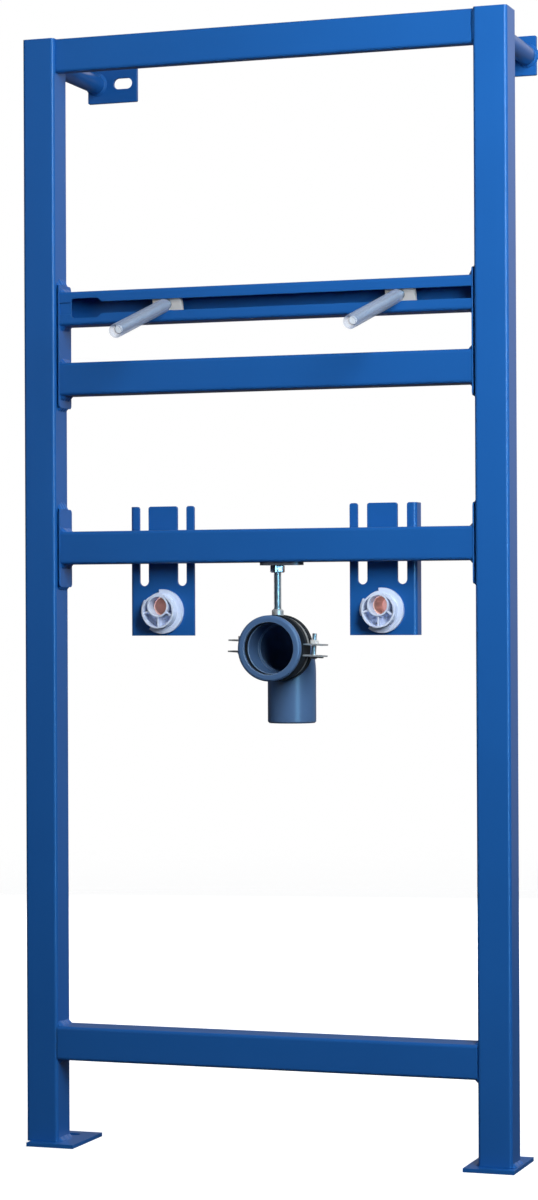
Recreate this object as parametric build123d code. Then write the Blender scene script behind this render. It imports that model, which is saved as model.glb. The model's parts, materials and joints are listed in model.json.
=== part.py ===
from build123d import *

import os
from math import cos, radians, sin

# Basin installation frame: a welded steel frame that stands on the floor, bolts to the wall behind it
# and carries a wash basin, its two taps and its waste.
# X runs across the frame, Y from the room towards the wall, Z up from the floor.
# The origin lies on the floor, midway between the two floor slots.

# Welded frame
overall_height = 1150.0
overall_width = 520.0
tube_side = 35.0  # square tube of the uprights and the bottom rail
tube_wall = 2.0
tube_inner_radius = 1.5
bottom_rail_z = 89.0  # underside
top_rail_height = 35.0
top_rail_depth = 15.0
top_rail_setback = 5.0  # from the front of the uprights

# Feet
foot_width = 52.0
foot_depth = 80.0
foot_thickness = 4.0
foot_overhang = 11.0  # in front of the upright
floor_slot_inset = 26.0  # slot centre from the outside of the frame
floor_slot_margin = 21.5  # slot centre from the plate's left edge
floor_slot_length = 26.0
floor_slot_width = 11.0
floor_slot_setback = 51.0  # from the front of the uprights

# Stand-offs to the wall
standoff_diameter = 20.0
standoff_wall = 2.0
standoff_drop = 22.0  # axis below the top of the frame
standoff_inset = 19.0  # axis from the outside of the frame
wall_distance = 160.0  # wall behind the front of the uprights
wall_plate_width = 57.0
wall_plate_height = 41.0
wall_plate_thickness = 4.0
wall_plate_radius = 1.5
wall_plate_inset = 9.0  # outer end from the outside of the frame
wall_slot_length = 22.0
wall_slot_width = 12.0
wall_slot_margin = 16.5  # slot centre from the plate's inner end

# Cross rails between end plates
rail_height = 34.0
rail_depth = 30.0
rail_setback = 5.0
channel_z = 851.0
middle_rail_z = 778.5
pipe_rail_z = 603.0
end_plate_thickness = 3.5
end_plate_depth = 32.0
end_plate_setback = 4.5
end_plate_radius = 4.0
end_plate_relief = 2.0  # front edge stands clear of the upright
end_plate_relief_depth = 7.0
basin_plate_above = 8.0
basin_plate_below = 12.5
pipe_plate_margin = 23.5

# Slotted channel for the basin studs
channel_height = 35.0
channel_wall = 2.5
channel_inner_radius = 1.0
channel_slot = 12.2
keyhole_length = 34.0
keyhole_height = 20.5
keyhole_margin = 13.0  # closed front beside the end plate
keyhole_chamfer = 4.0
keyhole_radius = 4.0
slot_recess = 1.5  # step in the closed front, in line with the slot

# Basin studs, loose in the channel and hanging on its lower lip
stud_places = {"left": -103.8, "right": 145.2}  # along X
stud_splays = {"left": 0.0, "right": 3.2}  # degrees towards the left
stud_diameter = 10.0
stud_droop = 16.0  # degrees below level
stud_reach = 140.0  # sleeve tip from the channel front, along the stud
stud_recess = 9.0  # stud end inside the sleeve
stud_tail = 3.0  # stud end behind the nut
sleeve_diameter = 14.0
nut_width = 31.0
nut_height = 20.0
nut_thickness = 6.0
loose_clearance = 0.3
thread_clearance = 0.1

# Tap brackets: slotted sheet, bent back along the outer edge
tap_spacing = 237.6
tap_z = 553.6
bracket_sheet = 3.0
bracket_bend_radius = 1.0
bracket_inner_reach = 34.5  # tap axis to the inner edge
bracket_outer_reach = 36.0  # tap axis to the outside of the bend
bracket_top = 662.5
bracket_bottom = 528.5
bracket_flange = 17.0
bracket_slot_width = 10.2
bracket_slot_offset = 21.0
bracket_slot_bottom = 580.0
bracket_corner = 2.5

# Tap plugs: ribbed plastic cups with an eccentric bore
plug_flange_diameter = 46.0
plug_flange_thickness = 4.0
plug_gap_depth = 3.0
plug_gaps = ((98.0, 148.0), (193.0, 232.0))  # degrees, seen from the room
plug_diameter = 35.0
plug_wall = 1.7
plug_projection = 16.5
plug_bore = 19.5
plug_bore_wall = 1.6
plug_bore_rise = 5.4
plug_web = 1.8
plug_web_recess = 1.5
plug_web_angles = (205.0, 270.0, 325.0)

# Brass elbows behind the brackets: a socket for the tap and a branch down for the supply pipe
socket_diameter = 24.0
socket_bore = 18.0
socket_length = 34.0
socket_bottom = 4.0  # closed end of the bore
branch_setback = 22.0  # from the front of the bracket
branch_diameter = 21.0
branch_bore = 15.0
branch_drop = 29.0  # below the socket's axis
socket_collar = 30.0  # across flats
socket_collar_thickness = 6.0
socket_clearance = 0.2

# Waste: plastic elbow in a lined pipe clamp under the pipe rail
waste_x = 12.0
pipe_diameter = 50.0
pipe_wall = 1.8
waste_mouth_setback = -10.0  # mouth from the front of the uprights
bead_diameter = 67.0
bead_land = 6.0  # full diameter behind the mouth
bead_length = 15.0
bead_step = 1.75  # from the bead's tapered end down to the hub
bead_round = 3.0
bead_taper = 2.0
mouth_diameter = 53.2
mouth_length = 4.0
seal_groove_diameter = 58.5
seal_groove_length = 8.0
waste_bore = 51.0
waste_bore_length = 30.0
hub_diameter = 56.5
hub_length = 26.0
hub_taper = 4.0
elbow_radius = 27.0
spigot_drop = 77.5  # spigot end below the mouth's axis
spigot_chamfer = 1.5
seal_lip = 0.8  # seal stands back from the bore
lining_thickness = 2.7
lining_width = 24.0
lining_clearance = 0.1
lip_thickness = 1.1  # lining folded over the band
lip_gap = 9.0  # band left bare between the lips
band_thickness = 1.5
band_width = 21.0
clamp_roll = -3.0  # degrees about the waste's axis, seen from the room
ear_gap = 9.9
ear_length = 17.5
ear_hole = 6.4
ear_hole_offset = 6.0  # from the outside of the band
boss_diameter = 12.0
boss_chamfer = 1.8
boss_height = 7.4
boss_socket = 6.0
rod_diameter = 8.0
rod_visible = 36.8  # between the lock nut and the boss
rod_clearance = 0.15
rod_tail = 6.0  # rod end above the rail's lower wall
hanger_nut_flats = 13.0
hanger_nut_height = 7.5
hanger_plate_length = 46.0
hanger_plate_width = 20.0
hanger_plate_thickness = 3.0
hanger_plate_offset = 4.5  # middle of the plate to the right of the rod

# Places that follow
front_y = -floor_slot_setback
back_y = front_y + tube_side
half_width = overall_width / 2
upright_x = half_width - tube_side / 2
inner_x = half_width - tube_side
rail_front = front_y + rail_setback
rail_back = rail_front + rail_depth
rail_end_x = inner_x - end_plate_thickness
channel_top = channel_z + channel_height
pipe_rail_top = pipe_rail_z + rail_height
standoff_z = overall_height - standoff_drop
wall_y = front_y + wall_distance
wall_plate_y = wall_y - wall_plate_thickness
clamp_y = rail_front + rail_depth / 2


def facing_room(x, y, z):
    """Plane square to the room: local x along X, local y up, normal towards the room."""
    return Plane((x, y, z), x_dir=(1, 0, 0), z_dir=(0, -1, 0))


def tube_section(width, height, wall, inner_radius):
    outer = RectangleRounded(width, height, inner_radius + wall)
    return outer - RectangleRounded(width - 2 * wall, height - 2 * wall, inner_radius)


def rail(end_x, y, z, depth, height, wall, inner_radius):
    """Hollow rail across the frame, from -end_x to end_x, with its lower front corner at y, z."""
    section = Pos(y + depth / 2, z + height / 2) * tube_section(depth, height, wall, inner_radius)
    return Pos(-end_x, 0, 0) * extrude(Plane.YZ * section, 2 * end_x)


def both_sides(shape):
    """The right-hand piece as given and its mirror image on the left."""
    return {"right": shape, "left": mirror(shape, about=Plane.YZ)}


def upright():
    section = tube_section(tube_side, tube_side, tube_wall, tube_inner_radius)
    base = Pos(upright_x, front_y + tube_side / 2, foot_thickness)
    return base * extrude(section, overall_height - foot_thickness)


def foot_plate(slot_x):
    """Foot with its slot at slot_x; the two are alike, each set a little to the right of its slot."""
    middle_x = slot_x + foot_width / 2 - floor_slot_margin
    outline = Pos(middle_x, front_y - foot_overhang + foot_depth / 2) * Rectangle(foot_width, foot_depth)
    slot = Pos(slot_x, 0) * SlotOverall(floor_slot_length, floor_slot_width)
    return extrude(outline - slot, foot_thickness)


def standoff_tube():
    radius = standoff_diameter / 2
    ring = Circle(radius) - Circle(radius - standoff_wall)
    place = facing_room(half_width - standoff_inset, back_y, standoff_z)
    return extrude(place * ring, back_y - wall_plate_y)


def wall_plate():
    outer_end = half_width - wall_plate_inset
    outline = RectangleRounded(wall_plate_width, wall_plate_height, wall_plate_radius)
    slot = Pos(wall_slot_margin - wall_plate_width / 2, 0) * SlotOverall(wall_slot_length, wall_slot_width)
    place = facing_room(outer_end - wall_plate_width / 2, wall_plate_y, standoff_z)
    return extrude(place * (outline - slot), -wall_plate_thickness)


def end_plate(bottom, top):
    middle_y = front_y + end_plate_setback + end_plate_depth / 2
    outline = RectangleRounded(end_plate_depth, top - bottom, end_plate_radius)
    face = Plane.YZ * (Pos(middle_y, (bottom + top) / 2) * outline)
    plate = Pos(rail_end_x, 0, 0) * extrude(face, end_plate_thickness)
    relief_y = front_y + end_plate_setback + end_plate_relief_depth / 2
    relief = Box(end_plate_relief, end_plate_relief_depth, top - bottom)
    return plate - Pos(inner_x - end_plate_relief / 2, relief_y, (bottom + top) / 2) * relief


def basin_channel():
    """C-channel with a slot along its front and a wide entry for the nuts near the left end."""
    body = rail(
        rail_end_x, rail_front, channel_z, rail_depth, channel_height, channel_wall, channel_inner_radius
    )
    left = keyhole_margin - rail_end_x
    right = left + keyhole_length
    entry = Rectangle(keyhole_length, keyhole_height)
    entry = chamfer(entry.vertices().sort_by(Axis.X)[-2:], keyhole_chamfer)
    entry = fillet(entry.vertices().sort_by(Axis.X)[:2], keyhole_radius)
    slot_length = rail_end_x - left - keyhole_length / 2
    slot = Pos(rail_end_x - slot_length / 2, 0) * Rectangle(slot_length, channel_slot)
    opening = Pos((left + right) / 2, 0) * entry + slot
    front = facing_room(0, rail_front, channel_z + channel_height / 2)
    closed = Pos((left - rail_end_x) / 2, 0) * Rectangle(left + rail_end_x, channel_slot)
    body -= extrude(front * closed, -slot_recess)
    return body - extrude(front * opening, -(channel_wall + channel_inner_radius))


def stud_set(x, splay):
    """Channel nut, stud and sleeve: the stud rests on the lower lip, the nut's top edge on the upper one."""
    droop = radians(stud_droop)
    turn = radians(splay)
    slot_bottom = channel_z + (channel_height - channel_slot) / 2
    axis_z = slot_bottom + loose_clearance + stud_diameter / 2 / cos(droop)
    outward = Vector(-sin(turn) * cos(droop), -cos(turn) * cos(droop), -sin(droop))
    along = Plane((x, rail_front, axis_z), x_dir=(cos(turn), -sin(turn), 0), z_dir=outward)
    forward = cos(turn) * cos(droop)  # share of the stud's length that runs towards the room
    lean = nut_width / 2 * sin(turn) + nut_height / 2 * sin(droop) * cos(turn)
    behind_lip = (channel_wall + loose_clearance + lean) / forward
    nut_back = behind_lip + nut_thickness
    sleeve_start = (loose_clearance + sleeve_diameter / 2 * (1 - forward**2) ** 0.5) / forward
    stud_end = stud_reach - stud_recess

    blank = Rectangle(nut_width, nut_height) - Circle(stud_diameter / 2 + thread_clearance)
    nut = along * (Pos(0, 0, -nut_back) * extrude(blank, nut_thickness))
    tail = nut_back + stud_tail
    stud = along * (Pos(0, 0, -tail) * extrude(Circle(stud_diameter / 2), tail + stud_end))
    ring = Circle(sleeve_diameter / 2) - Circle(stud_diameter / 2 + loose_clearance)
    sleeve = along * (Pos(0, 0, sleeve_start) * extrude(ring, stud_reach - sleeve_start))
    return {"channel_nut": nut, "stud": stud, "stud_sleeve": sleeve}


def tap_bracket():
    """Right-hand bracket: sheet with two slots open at the top, outer edge bent back into a flange."""
    tap_x = tap_spacing / 2
    inner = tap_x - bracket_inner_reach
    outer = tap_x + bracket_outer_reach
    height = bracket_top - bracket_bottom
    outer_round = bracket_bend_radius + bracket_sheet
    sheet = Pos((inner + outer) / 2, rail_back + bracket_sheet / 2) * Rectangle(outer - inner, bracket_sheet)
    flange_y = rail_back + bracket_flange / 2
    flange = Pos(outer - bracket_sheet / 2, flange_y) * Rectangle(bracket_sheet, bracket_flange)
    bend = sheet + flange
    outside = bend.vertices().sort_by_distance((outer, rail_back, 0))[0]
    bend = fillet([outside], outer_round)
    inside = bend.vertices().sort_by_distance((outer - bracket_sheet, rail_back + bracket_sheet, 0))[0]
    bend = fillet([inside], bracket_bend_radius)
    body = Pos(0, 0, bracket_bottom) * extrude(bend, height)

    outline = Pos((inner + outer) / 2, (bracket_top + bracket_bottom) / 2) * Rectangle(outer - inner, height)
    slot_radius = bracket_slot_width / 2
    slot_low = bracket_slot_bottom + slot_radius
    slot_height = bracket_top - slot_low
    for offset in (-bracket_slot_offset, bracket_slot_offset):
        slot = Pos(tap_x + offset, slot_low + slot_height / 2) * Rectangle(bracket_slot_width, slot_height)
        outline -= slot + Pos(tap_x + offset, slot_low) * Circle(slot_radius)
    prongs = outline.vertices().group_by(Axis.Y)[-1].sort_by(Axis.X)[:-1]
    outline = fillet(prongs, bracket_corner)
    outline -= Pos(tap_x, tap_z + plug_bore_rise) * Circle(socket_diameter / 2 + socket_clearance)
    return body & extrude(facing_room(0, rail_back, 0) * outline, -bracket_flange)


def sector(start, end, radius):
    """Wedge between two angles, reaching past the given radius."""
    corners = [(0, 0)]
    for angle in (start, (start + end) / 2, end):
        corners.append((2 * radius * cos(radians(angle)), 2 * radius * sin(radians(angle))))
    return make_face(Polyline(*corners, close=True))


def tap_plug(x):
    flange_radius = plug_flange_diameter / 2
    radius = plug_diameter / 2
    inside = Circle(radius - plug_wall)
    rise = Pos(0, plug_bore_rise)
    boss = rise * Circle(plug_bore / 2 + plug_bore_wall)
    rim = flange_radius - plug_gap_depth
    flange = Circle(flange_radius)
    for start, end in plug_gaps:
        flange -= (Circle(flange_radius + plug_gap_depth) - Circle(rim)) & sector(start, end, flange_radius)
    webs = Sketch()
    for angle in plug_web_angles:
        webs += rise * (Rot(0, 0, angle) * (Pos(radius, 0) * Rectangle(2 * radius, plug_web)))
    cup = (Circle(radius) - inside) + (boss & Circle(radius))
    body = extrude(flange, plug_flange_thickness) + extrude(cup, plug_projection)
    body += extrude((webs & inside) - boss, plug_projection - plug_web_recess)
    body -= extrude(rise * Circle(plug_bore / 2), plug_projection)
    return facing_room(x, rail_back, tap_z) * body


def brass_socket(x):
    """Socket through the bracket, closed at its back, with a hexagon collar and a branch down."""
    collar = RegularPolygon(socket_collar / 2, 6, major_radius=False)
    down = Plane((0, 0, -branch_setback), x_dir=(1, 0, 0), z_dir=(0, -1, 0))
    body = extrude(Circle(socket_diameter / 2), -socket_length)
    body += Pos(0, 0, -bracket_sheet) * extrude(collar, -socket_collar_thickness)
    body += extrude(down * Circle(branch_diameter / 2), branch_drop)
    body -= extrude(Circle(socket_bore / 2), socket_bottom - socket_length)
    body -= extrude(down * Circle(branch_bore / 2), branch_drop)
    return facing_room(x, rail_back, tap_z + plug_bore_rise) * body


lining_inner = hub_diameter / 2 + lining_clearance
lining_outer = lining_inner + lining_thickness
band_inner = lining_outer + lining_clearance
band_outer = band_inner + band_thickness
hanger_plate_z = pipe_rail_z - hanger_plate_thickness
hanger_nut_z = hanger_plate_z - hanger_nut_height
boss_top = hanger_nut_z - rod_visible
rod_seat = boss_top - boss_socket
waste_z = boss_top - boss_height - band_outer

waste_axis = Axis((waste_x, 0, waste_z), (0, 1, 0))
waste_profile = Plane((waste_x, 0, waste_z), x_dir=(0, 1, 0), z_dir=(1, 0, 0))
mouth_y = front_y + waste_mouth_setback
bead_y = mouth_y + bead_length
hub_y = bead_y + bead_taper
bend_y = hub_y + hub_length + hub_taper
groove_y = mouth_y + mouth_length
bore_y = groove_y + seal_groove_length


def turned(points, rounds=()):
    """Solid of revolution about the waste's axis from (y, radius) points; rounds lists (point, radius)."""
    face = make_face(Polyline(*points, close=True))
    for point, radius in rounds:
        corner = face.vertices().sort_by_distance((point[0], point[1], 0))[0]
        face = fillet([corner], radius)
    return revolve(waste_profile * face, waste_axis)


def bend_and_spigot(radius):
    """Quarter bend down from the waste's axis and the straight spigot below it."""
    bend_start = Plane((waste_x, bend_y, waste_z), x_dir=(1, 0, 0), z_dir=(0, 1, 0))
    bend_axis = Axis((waste_x, bend_y, waste_z - elbow_radius), (-1, 0, 0))
    bend = revolve(bend_start * Circle(radius), bend_axis, 90)
    straight = spigot_drop - elbow_radius
    spigot = Pos(waste_x, bend_y + elbow_radius, waste_z - spigot_drop) * extrude(Circle(radius), straight)
    return bend, spigot


def waste_elbow():
    bead = bead_diameter / 2
    hub = hub_diameter / 2
    pipe = pipe_diameter / 2
    mouth = mouth_diameter / 2
    groove = seal_groove_diameter / 2
    bore = waste_bore / 2
    inside = pipe - pipe_wall
    bore_end = bore_y + waste_bore_length
    socket = turned(
        [
            (mouth_y, 0),
            (mouth_y, bead),
            (mouth_y + bead_land, bead),
            (bead_y, hub + bead_step),
            (hub_y, hub),
            (hub_y + hub_length, hub),
            (bend_y, pipe),
            (bend_y, 0),
        ],
        [((mouth_y, bead), bead_round), ((mouth_y + bead_land, bead), bead_land)],
    )
    bend, spigot = bend_and_spigot(pipe)
    spigot = chamfer(spigot.edges().group_by(Axis.Z)[0], spigot_chamfer)
    hollow = turned(
        [
            (mouth_y, 0),
            (mouth_y, mouth),
            (groove_y, mouth),
            (groove_y, groove),
            (bore_y, groove),
            (bore_y, bore),
            (bore_end, bore),
            (bore_end, inside),
            (bend_y, inside),
            (bend_y, 0),
        ]
    )
    bend_hollow, spigot_hollow = bend_and_spigot(inside)
    return (socket + bend + spigot) - (hollow + bend_hollow + spigot_hollow)


def socket_seal():
    """Rubber ring that fills the groove inside the mouth."""
    groove = seal_groove_diameter / 2 - lining_clearance
    lip = waste_bore / 2 + seal_lip
    start = groove_y + lining_clearance
    end = bore_y - lining_clearance
    return turned([(start, lip), (start, groove), (end, groove), (end, lip)])


def clamp_lining():
    """Rubber sleeve inside the band, folded over its edges and cut away at the ears and the boss."""
    edge = lining_width / 2
    inside = band_width / 2 + lining_clearance
    bare = lip_gap / 2
    low = band_outer + lining_clearance
    high = low + lip_thickness
    lip = [(edge, lining_inner), (edge, high), (bare, high), (bare, low)]
    lip += [(inside, low), (inside, lining_outer)]
    other_lip = [(-y, radius) for y, radius in reversed(lip)]
    lining = turned([(clamp_y + y, radius) for y, radius in lip + other_lip])
    place = facing_room(waste_x, clamp_y, waste_z)
    at_ears = Rectangle(4 * high, ear_gap + 2 * (band_thickness + lining_clearance)) - Circle(lining_outer)
    lining -= place * (Rot(0, 0, clamp_roll) * extrude(at_ears, edge, both=True))
    at_boss = Circle(boss_diameter / 2 + lining_clearance)
    return lining - Pos(waste_x, clamp_y, waste_z + lining_outer) * extrude(at_boss, 2 * high)


def clamp_half():
    """Upper band with an ear at each end; the lower one is its mirror image."""
    ear_reach = band_outer + ear_length
    above = Pos(0, ear_gap / 2 + band_outer / 2) * Rectangle(2 * ear_reach, band_outer)
    ring = (Circle(band_outer) - Circle(band_inner)) & above
    ears = Pos(0, ear_gap / 2 + band_thickness / 2) * Rectangle(2 * ear_reach, band_thickness)
    band = extrude(ring + (ears - Circle(band_inner)), band_width / 2, both=True)
    hole_x = band_outer + ear_hole_offset
    for side in (-1, 1):
        hole = Plane((side * hole_x, 0, 0), x_dir=(1, 0, 0), z_dir=(0, 1, 0)) * Circle(ear_hole / 2)
        band -= extrude(hole, ear_gap / 2 + 2 * band_thickness)
    return band


def clamp_halves():
    place = facing_room(waste_x, clamp_y, waste_z)
    turn = Rot(0, 0, clamp_roll)
    half = clamp_half()
    upper = place * (turn * half)
    lower = place * (turn * mirror(half, about=Plane.XZ))
    boss = Pos(waste_x, clamp_y, waste_z) * extrude(Circle(boss_diameter / 2), boss_top - waste_z)
    boss = chamfer(boss.edges().group_by(Axis.Z)[-1], boss_chamfer)
    boss -= extrude(place * Circle((band_inner + band_outer) / 2), band_width, both=True)
    hole = Pos(waste_x, clamp_y, rod_seat) * extrude(Circle(rod_diameter / 2 + rod_clearance), boss_socket)
    return upper + boss - hole, lower


def hanger():
    """Base plate under the pipe rail, lock nut and the threaded rod down to the clamp."""
    axis = Pos(waste_x, clamp_y, 0)
    hole = Circle(rod_diameter / 2 + rod_clearance)
    plate = Pos(hanger_plate_offset, 0) * SlotOverall(hanger_plate_length, hanger_plate_width) - hole
    nut = RegularPolygon(hanger_nut_flats / 2, 6, major_radius=False) - hole
    rod_top = pipe_rail_z + tube_wall + rod_tail
    return {
        "hanger_plate": axis * (Pos(0, 0, hanger_plate_z) * extrude(plate, hanger_plate_thickness)),
        "hanger_nut": axis * (Pos(0, 0, hanger_nut_z) * extrude(nut, hanger_nut_height)),
        "hanger_rod": axis * (Pos(0, 0, rod_seat) * extrude(Circle(rod_diameter / 2), rod_top - rod_seat)),
    }


def pipe_rail():
    """Rail that carries the tap brackets, drilled through its underside for the hanger rod."""
    body = rail(rail_end_x, rail_front, pipe_rail_z, rail_depth, rail_height, tube_wall, tube_inner_radius)
    hole = Pos(waste_x, clamp_y, pipe_rail_z) * Circle(rod_diameter / 2 + rod_clearance)
    return body - extrude(hole, 2 * tube_wall)


pieces = {}
for name, shape in (
    ("upright", upright()),
    ("standoff_tube", standoff_tube()),
    ("wall_plate", wall_plate()),
    ("basin_end_plate", end_plate(middle_rail_z - basin_plate_below, channel_top + basin_plate_above)),
    ("pipe_end_plate", end_plate(pipe_rail_z - pipe_plate_margin, pipe_rail_top + pipe_plate_margin)),
    ("tap_bracket", tap_bracket()),
):
    for side, half in both_sides(shape).items():
        pieces[f"{side}_{name}"] = half

pieces["top_rail"] = rail(
    inner_x,
    front_y + top_rail_setback,
    overall_height - top_rail_height,
    top_rail_depth,
    top_rail_height,
    tube_wall,
    tube_inner_radius,
)
pieces["bottom_rail"] = rail(
    inner_x, front_y, bottom_rail_z, tube_side, tube_side, tube_wall, tube_inner_radius
)
pieces["middle_rail"] = rail(
    rail_end_x, rail_front, middle_rail_z, rail_depth, rail_height, tube_wall, tube_inner_radius
)
pieces["pipe_rail"] = pipe_rail()
pieces["basin_channel"] = basin_channel()

for side, x in stud_places.items():
    for name, shape in stud_set(x, stud_splays[side]).items():
        pieces[f"{side}_{name}"] = shape

for side, sign in (("left", -1), ("right", 1)):
    pieces[f"{side}_foot_plate"] = foot_plate(sign * (half_width - floor_slot_inset))
    pieces[f"{side}_tap_plug"] = tap_plug(sign * tap_spacing / 2)
    pieces[f"{side}_brass_socket"] = brass_socket(sign * tap_spacing / 2)

pieces["waste_elbow"] = waste_elbow()
pieces["socket_seal"] = socket_seal()
pieces["clamp_lining"] = clamp_lining()
pieces["clamp_upper_half"], pieces["clamp_lower_half"] = clamp_halves()
pieces.update(hanger())

os.makedirs("parts", exist_ok=True)
for name, shape in pieces.items():
    export_step(shape, f"parts/{name}.step")
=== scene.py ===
import bpy
import json
import math
import random
from mathutils import Matrix, Vector


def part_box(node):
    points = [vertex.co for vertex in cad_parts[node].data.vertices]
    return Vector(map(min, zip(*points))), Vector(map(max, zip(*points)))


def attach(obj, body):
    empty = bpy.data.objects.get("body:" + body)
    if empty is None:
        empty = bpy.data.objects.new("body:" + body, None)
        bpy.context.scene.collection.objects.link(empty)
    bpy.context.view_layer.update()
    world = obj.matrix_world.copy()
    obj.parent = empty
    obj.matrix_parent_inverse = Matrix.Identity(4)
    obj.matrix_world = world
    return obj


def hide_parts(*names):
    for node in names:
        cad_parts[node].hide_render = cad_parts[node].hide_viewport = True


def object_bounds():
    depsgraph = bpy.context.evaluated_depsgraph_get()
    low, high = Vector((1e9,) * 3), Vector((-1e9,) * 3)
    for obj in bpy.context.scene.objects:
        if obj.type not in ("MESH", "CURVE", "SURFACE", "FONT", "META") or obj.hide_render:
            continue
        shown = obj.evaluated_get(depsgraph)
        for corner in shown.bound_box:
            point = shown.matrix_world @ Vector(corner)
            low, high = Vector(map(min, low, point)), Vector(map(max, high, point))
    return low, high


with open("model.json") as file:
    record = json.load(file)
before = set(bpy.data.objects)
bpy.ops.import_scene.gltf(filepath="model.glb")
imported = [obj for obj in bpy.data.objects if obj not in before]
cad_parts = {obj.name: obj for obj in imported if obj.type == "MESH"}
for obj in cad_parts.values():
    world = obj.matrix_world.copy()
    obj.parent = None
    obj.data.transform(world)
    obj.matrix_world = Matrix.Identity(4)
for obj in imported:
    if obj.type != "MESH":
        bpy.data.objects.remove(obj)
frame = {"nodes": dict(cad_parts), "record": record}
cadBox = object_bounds()
nodes = frame["nodes"]
mounts = {mount["name"]: mount for mount in frame["record"]["mounts"]}
mm = 0.001
print("frame loaded:", len(nodes), "nodes")


# shader helpers

def newGroup(name, inputs, outputs):
    tree = bpy.data.node_groups.new(name, "ShaderNodeTree")
    for label, kind, value in inputs:
        socket = tree.interface.new_socket(label, in_out="INPUT", socket_type=kind)
        socket.default_value = value
    for label, kind in outputs:
        tree.interface.new_socket(label, in_out="OUTPUT", socket_type=kind)
    return tree, tree.nodes.new("NodeGroupInput"), tree.nodes.new("NodeGroupOutput")


def addNode(tree, kind, settings=None, **values):
    node = tree.nodes.new(kind)
    for name, value in (settings or {}).items():
        setattr(node, name, value)
    for name, value in values.items():
        node.inputs[name.replace("_", " ")].default_value = value
    return node


def mixColor(tree, factor, first, second):
    # each of the three is an output to link or a fixed value for its socket
    node = addNode(tree, "ShaderNodeMix", {"data_type": "RGBA"})
    for index, source in ((0, factor), (6, first), (7, second)):
        if hasattr(source, "is_linked"):
            tree.links.new(source, node.inputs[index])
        else:
            node.inputs[index].default_value = source
    return node.outputs[2]


def toneDriftGroup():
    # slow change of tone over a surface, as a coat or a moulding has
    tree, source, sink = newGroup(
        "toneDrift",
        [("Color", "NodeSocketColor", (0.5, 0.5, 0.5, 1)), ("Shade", "NodeSocketColor", (0.4, 0.4, 0.4, 1)),
         ("Scale", "NodeSocketFloat", 8.0), ("Amount", "NodeSocketFloat", 0.3)],
        [("Color", "NodeSocketColor")])
    place = addNode(tree, "ShaderNodeTexCoord")
    noise = addNode(tree, "ShaderNodeTexNoise", Detail=3.0, Roughness=0.55)
    spread = addNode(tree, "ShaderNodeMapRange", From_Min=0.3, From_Max=0.7)
    amount = addNode(tree, "ShaderNodeMath", {"operation": "MULTIPLY"})
    tree.links.new(place.outputs["Object"], noise.inputs["Vector"])
    tree.links.new(source.outputs["Scale"], noise.inputs["Scale"])
    tree.links.new(noise.outputs["Fac"], spread.inputs["Value"])
    tree.links.new(spread.outputs["Result"], amount.inputs[0])
    tree.links.new(source.outputs["Amount"], amount.inputs[1])
    mixed = mixColor(tree, amount.outputs[0], source.outputs["Color"], source.outputs["Shade"])
    tree.links.new(mixed, sink.inputs["Color"])
    return tree


def fineGrainGroup():
    # fine surface texture: a height for Bump and a roughness that goes with it
    tree, source, sink = newGroup(
        "fineGrain",
        [("Scale", "NodeSocketFloat", 800.0), ("Stretch", "NodeSocketVector", (1, 1, 1)),
         ("Roughness", "NodeSocketFloat", 0.3), ("Spread", "NodeSocketFloat", 0.1)],
        [("Height", "NodeSocketFloat"), ("Roughness", "NodeSocketFloat")])
    place = addNode(tree, "ShaderNodeTexCoord")
    stretch = addNode(tree, "ShaderNodeVectorMath", {"operation": "MULTIPLY"})
    noise = addNode(tree, "ShaderNodeTexNoise", Detail=2.0, Roughness=0.5)
    centred = addNode(tree, "ShaderNodeMath", {"operation": "SUBTRACT"})
    spread = addNode(tree, "ShaderNodeMath", {"operation": "MULTIPLY_ADD"})
    centred.inputs[1].default_value = 0.5
    tree.links.new(place.outputs["Object"], stretch.inputs[0])
    tree.links.new(source.outputs["Stretch"], stretch.inputs[1])
    tree.links.new(stretch.outputs["Vector"], noise.inputs["Vector"])
    tree.links.new(source.outputs["Scale"], noise.inputs["Scale"])
    tree.links.new(noise.outputs["Fac"], centred.inputs[0])
    tree.links.new(centred.outputs[0], spread.inputs[0])
    tree.links.new(source.outputs["Spread"], spread.inputs[1])
    tree.links.new(source.outputs["Roughness"], spread.inputs[2])
    tree.links.new(noise.outputs["Fac"], sink.inputs["Height"])
    tree.links.new(spread.outputs[0], sink.inputs["Roughness"])
    return tree


def edgeWearAndHighlightGroup():
    # mask of the edges that handling rubs, which also carries a painted highlight where light catches them
    tree, source, sink = newGroup(
        "edgeWearAndHighlight",
        [("Radius", "NodeSocketFloat", 0.001), ("Sharpness", "NodeSocketFloat", 6.0)],
        [("Mask", "NodeSocketFloat"), ("Normal", "NodeSocketVector")])
    rounded = addNode(tree, "ShaderNodeBevel", {"samples": 4})
    surface = addNode(tree, "ShaderNodeNewGeometry")
    dot = addNode(tree, "ShaderNodeVectorMath", {"operation": "DOT_PRODUCT"})
    away = addNode(tree, "ShaderNodeMath", {"operation": "SUBTRACT"})
    sharpen = addNode(tree, "ShaderNodeMath", {"operation": "MULTIPLY", "use_clamp": True})
    away.inputs[0].default_value = 1.0
    tree.links.new(source.outputs["Radius"], rounded.inputs["Radius"])
    tree.links.new(rounded.outputs["Normal"], dot.inputs[0])
    tree.links.new(surface.outputs["Normal"], dot.inputs[1])
    tree.links.new(dot.outputs["Value"], away.inputs[1])
    tree.links.new(away.outputs[0], sharpen.inputs[0])
    tree.links.new(source.outputs["Sharpness"], sharpen.inputs[1])
    tree.links.new(sharpen.outputs[0], sink.inputs["Mask"])
    tree.links.new(rounded.outputs["Normal"], sink.inputs["Normal"])
    return tree


toneDrift = toneDriftGroup()
fineGrain = fineGrainGroup()
edgeWearAndHighlight = edgeWearAndHighlightGroup()
print("shader groups ready")


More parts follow.
